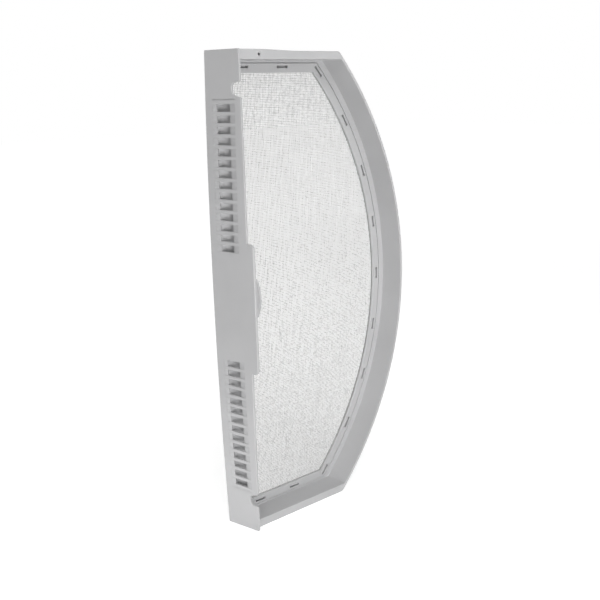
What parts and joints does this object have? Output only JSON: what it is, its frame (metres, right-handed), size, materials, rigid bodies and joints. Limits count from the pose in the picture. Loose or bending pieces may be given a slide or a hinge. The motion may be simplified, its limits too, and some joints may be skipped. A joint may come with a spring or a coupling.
{
  "type": "tumble dryer lint filter",
  "caption": "D-shaped grey plastic tray with a woven screen, a louvred grip strip along its straight side and a guide rail at each short end, which catches lint in a tumble dryer.",
  "frame": {"origin": "centre of the bounding box on the floor, on the outer face of the lower guide rail", "axes": "+Z along the grille strip, +X from the grille strip to the crown of the rim, -Y out of the open side of the tray"},
  "size_m": [0.2034, 0.0473, 0.43],
  "materials": {
    "frame": "satin moulded grey plastic",
    "screen_border": "satin moulded grey plastic",
    "screen_mesh": "fine woven white filament"
  },
  "bodies": {
    "root": {"frame": "frame", "screen_border": "screen_border", "screen_mesh": "screen_mesh"}
  },
  "joints": []
}
